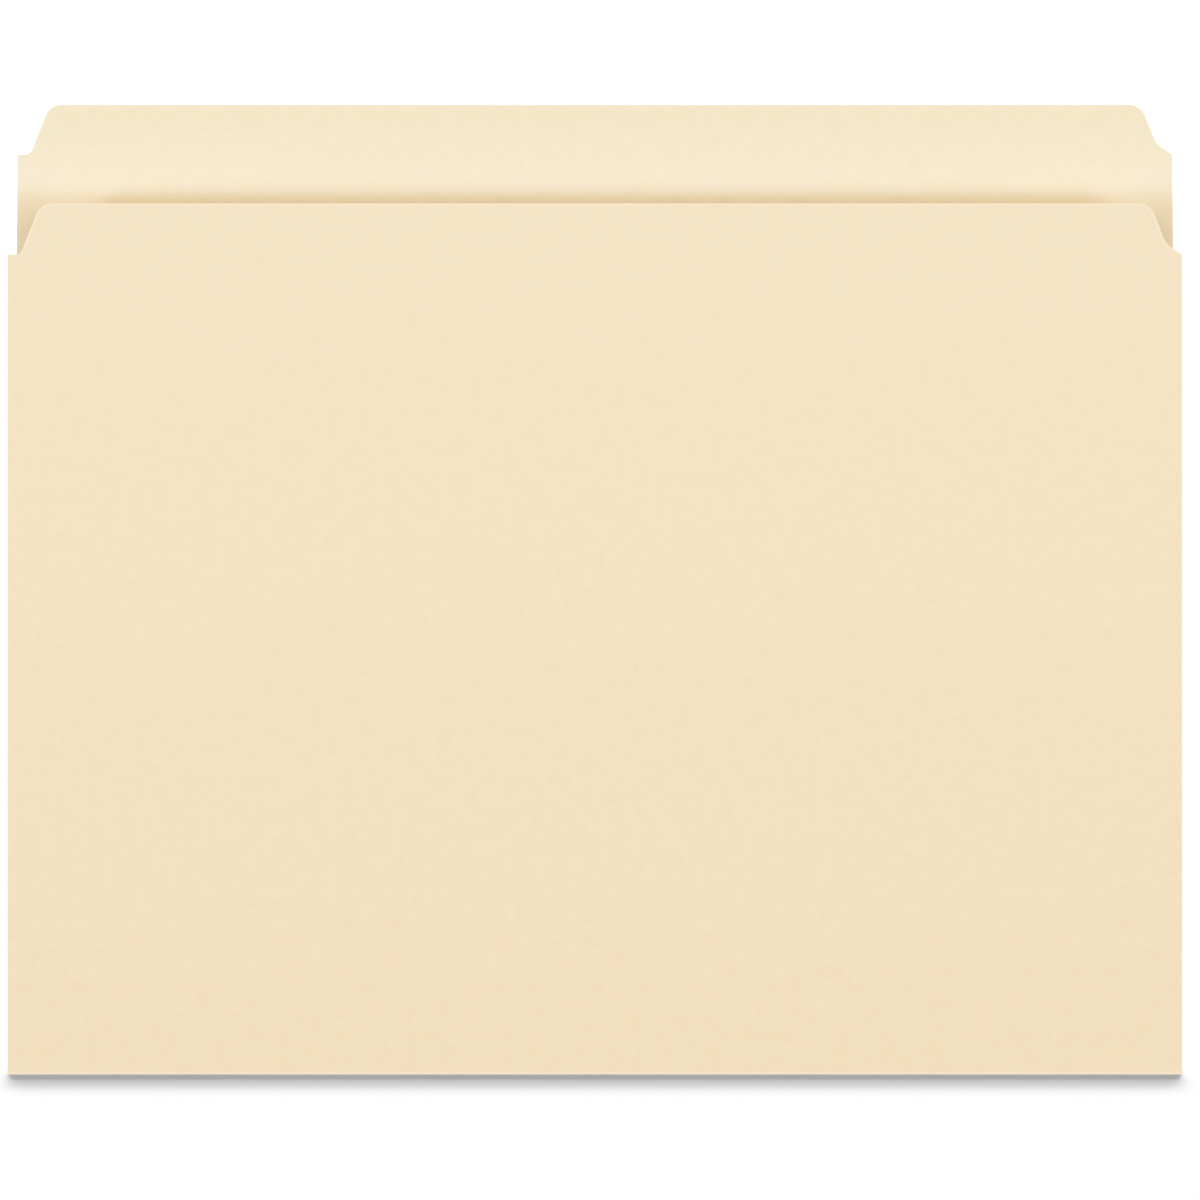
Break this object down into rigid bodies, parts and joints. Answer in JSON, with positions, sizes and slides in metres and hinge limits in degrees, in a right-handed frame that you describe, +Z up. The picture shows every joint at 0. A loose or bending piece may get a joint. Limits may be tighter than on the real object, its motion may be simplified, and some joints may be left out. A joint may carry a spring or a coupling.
{
  "type": "manila file folder",
  "caption": "Flat card file folder: a back panel and a shorter front cover, each with a full-width tab, hinged on a bottom fold, with score lines that let the bottom spread for papers.",
  "frame": {"origin": "middle of the bounding box on the table, under the back panel", "axes": "+X along the bottom fold, +Y from the fold towards the tabs, +Z up from the table through the back panel to the front panel"},
  "size_m": [0.2954, 0.2466, 0.0146],
  "materials": {
    "manila_card": "matte uncoated cream card with faint fibres"
  },
  "bodies": {
    "back": {"back_panel": "manila_card", "bottom_fold": "manila_card"},
    "front": {"front_panel": "manila_card"}
  },
  "joints": [
    {"name": "cover_open", "type": "hinge", "parent": "back", "child": "front", "pos_m": [0, -0.1227, 0.00063], "axis": [1, 0, 0], "range_deg": [-3.5, 176.5]}
  ]
}
